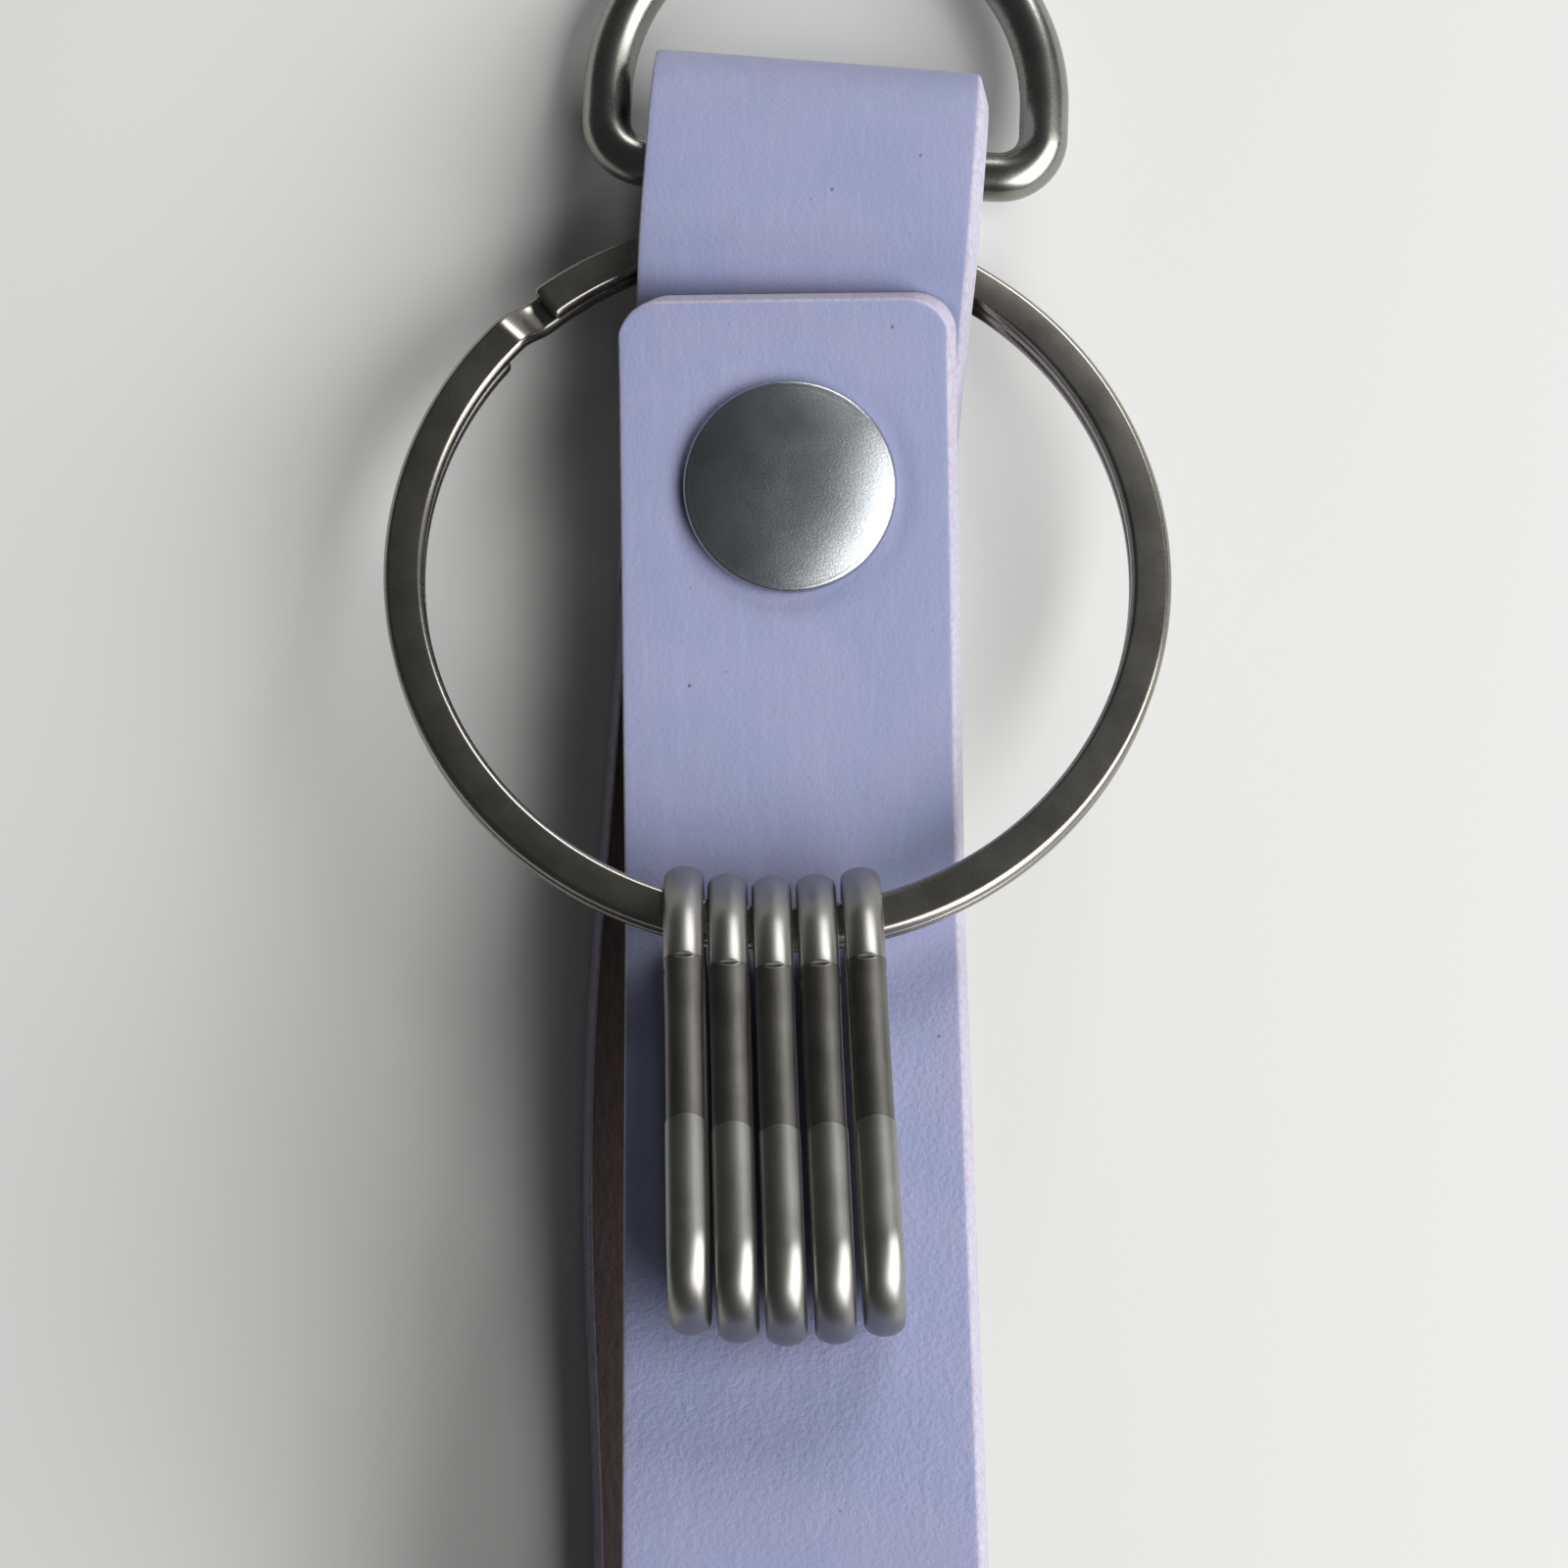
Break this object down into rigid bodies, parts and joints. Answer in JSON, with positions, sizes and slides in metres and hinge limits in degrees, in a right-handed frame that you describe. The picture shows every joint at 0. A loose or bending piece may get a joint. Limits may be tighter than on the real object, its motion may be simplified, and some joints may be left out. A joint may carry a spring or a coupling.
{
  "type": "split ring strap key holder",
  "caption": "Folded leather strap with a press snap, a D-ring and a flat-wire split ring carrying a row of narrow oval links with sprung gates.",
  "frame": {"origin": "centre of the snap post's flat flange, which lies flush in the strap's back face", "axes": "+Y along the strap from the large loop towards the D-ring, +Z from the back face out through the snap cap, +X to the right seen from the front"},
  "size_m": [0.045, 0.1191, 0.0268],
  "materials": {
    "leather": "fine grain, soft sheen",
    "dark_nickel": "dark polished",
    "satin_nickel": "satin",
    "link_metal": "satin",
    "snap_metal": "satin",
    "spring_steel": "drawn wire"
  },
  "bodies": {
    "strap": {"strap_loop": "leather", "snap_stud": "snap_metal", "snap_post": "snap_metal"},
    "flap": {"strap_flap": "leather", "snap_cap": "snap_metal", "snap_socket": "snap_metal", "snap_spring": "spring_steel"},
    "d_ring": {"d_ring": "satin_nickel"},
    "ring": {"split_ring": "dark_nickel"},
    "link_1": {"link_1_body": "link_metal", "link_1_pin": "link_metal"},
    "gate_1": {"link_1_gate": "link_metal", "link_1_spring": "spring_steel"},
    "link_2": {"link_2_body": "link_metal", "link_2_pin": "link_metal"},
    "gate_2": {"link_2_gate": "link_metal", "link_2_spring": "spring_steel"},
    "link_3": {"link_3_body": "link_metal", "link_3_pin": "link_metal"},
    "gate_3": {"link_3_gate": "link_metal", "link_3_spring": "spring_steel"},
    "link_4": {"link_4_body": "link_metal", "link_4_pin": "link_metal"},
    "gate_4": {"link_4_gate": "link_metal", "link_4_spring": "spring_steel"},
    "link_5": {"link_5_body": "link_metal", "link_5_pin": "link_metal"},
    "gate_5": {"link_5_gate": "link_metal", "link_5_spring": "spring_steel"}
  },
  "joints": [
    {"name": "flap_bend", "type": "hinge", "parent": "strap", "child": "flap", "pos_m": [0.00022, -0.016, 0.0101], "axis": [0.9999, 0.014, 0], "range_deg": [0, 65]},
    {"name": "d_ring_swing", "type": "hinge", "parent": "strap", "child": "d_ring", "pos_m": [0.00198, 0.0197, 0.004], "axis": [0.999, -0.0436, 0], "range_deg": [-80, 80]},
    {"name": "ring_swing", "type": "hinge", "parent": "strap", "child": "ring", "pos_m": [0.00103, 0.01687, 0.0033], "axis": [-0.9969, 0.0785, 0], "range_deg": [0, 80]},
    {"name": "link_1_swing", "type": "hinge", "parent": "ring", "child": "link_1", "pos_m": [-0.00583, -0.02468, 0.01494], "axis": [-0.9997, -0.0258, 0], "range_deg": [0, 70]},
    {"name": "gate_1_opening", "type": "hinge", "parent": "link_1", "child": "gate_1", "pos_m": [-0.00575, -0.02775, 0.02025], "axis": [0.9997, 0.0258, 0], "range_deg": [0, 30], "stiffness_Nm_per_rad": 0.003, "springref_deg": -17.19},
    {"name": "link_2_swing", "type": "hinge", "parent": "ring", "child": "link_2", "pos_m": [-0.0034, -0.02514, 0.01501], "axis": [-0.9995, -0.0312, 0], "range_deg": [0, 70]},
    {"name": "gate_2_opening", "type": "hinge", "parent": "link_2", "child": "gate_2", "pos_m": [-0.00331, -0.02816, 0.02042], "axis": [0.9995, 0.0312, 0], "range_deg": [0, 30], "stiffness_Nm_per_rad": 0.003, "springref_deg": -17.19},
    {"name": "link_3_swing", "type": "hinge", "parent": "ring", "child": "link_3", "pos_m": [-0.00096, -0.02532, 0.01501], "axis": [-0.9993, -0.0366, 0], "range_deg": [0, 70]},
    {"name": "gate_3_opening", "type": "hinge", "parent": "link_3", "child": "gate_3", "pos_m": [-0.00085, -0.02832, 0.02048], "axis": [0.9993, 0.0366, 0], "range_deg": [0, 30], "stiffness_Nm_per_rad": 0.003, "springref_deg": -17.19},
    {"name": "link_4_swing", "type": "hinge", "parent": "ring", "child": "link_4", "pos_m": [0.00151, -0.02523, 0.01493], "axis": [-0.9991, -0.042, 0], "range_deg": [0, 70]},
    {"name": "gate_4_opening", "type": "hinge", "parent": "link_4", "child": "gate_4", "pos_m": [0.00163, -0.02821, 0.02044], "axis": [0.9991, 0.042, 0], "range_deg": [0, 30], "stiffness_Nm_per_rad": 0.003, "springref_deg": -17.19},
    {"name": "link_5_swing", "type": "hinge", "parent": "ring", "child": "link_5", "pos_m": [0.00399, -0.02485, 0.01477], "axis": [-0.9989, -0.0475, 0], "range_deg": [0, 70]},
    {"name": "gate_5_opening", "type": "hinge", "parent": "link_5", "child": "gate_5", "pos_m": [0.00413, -0.02783, 0.02029], "axis": [0.9989, 0.0475, 0], "range_deg": [0, 30], "stiffness_Nm_per_rad": 0.003, "springref_deg": -17.19}
  ]
}
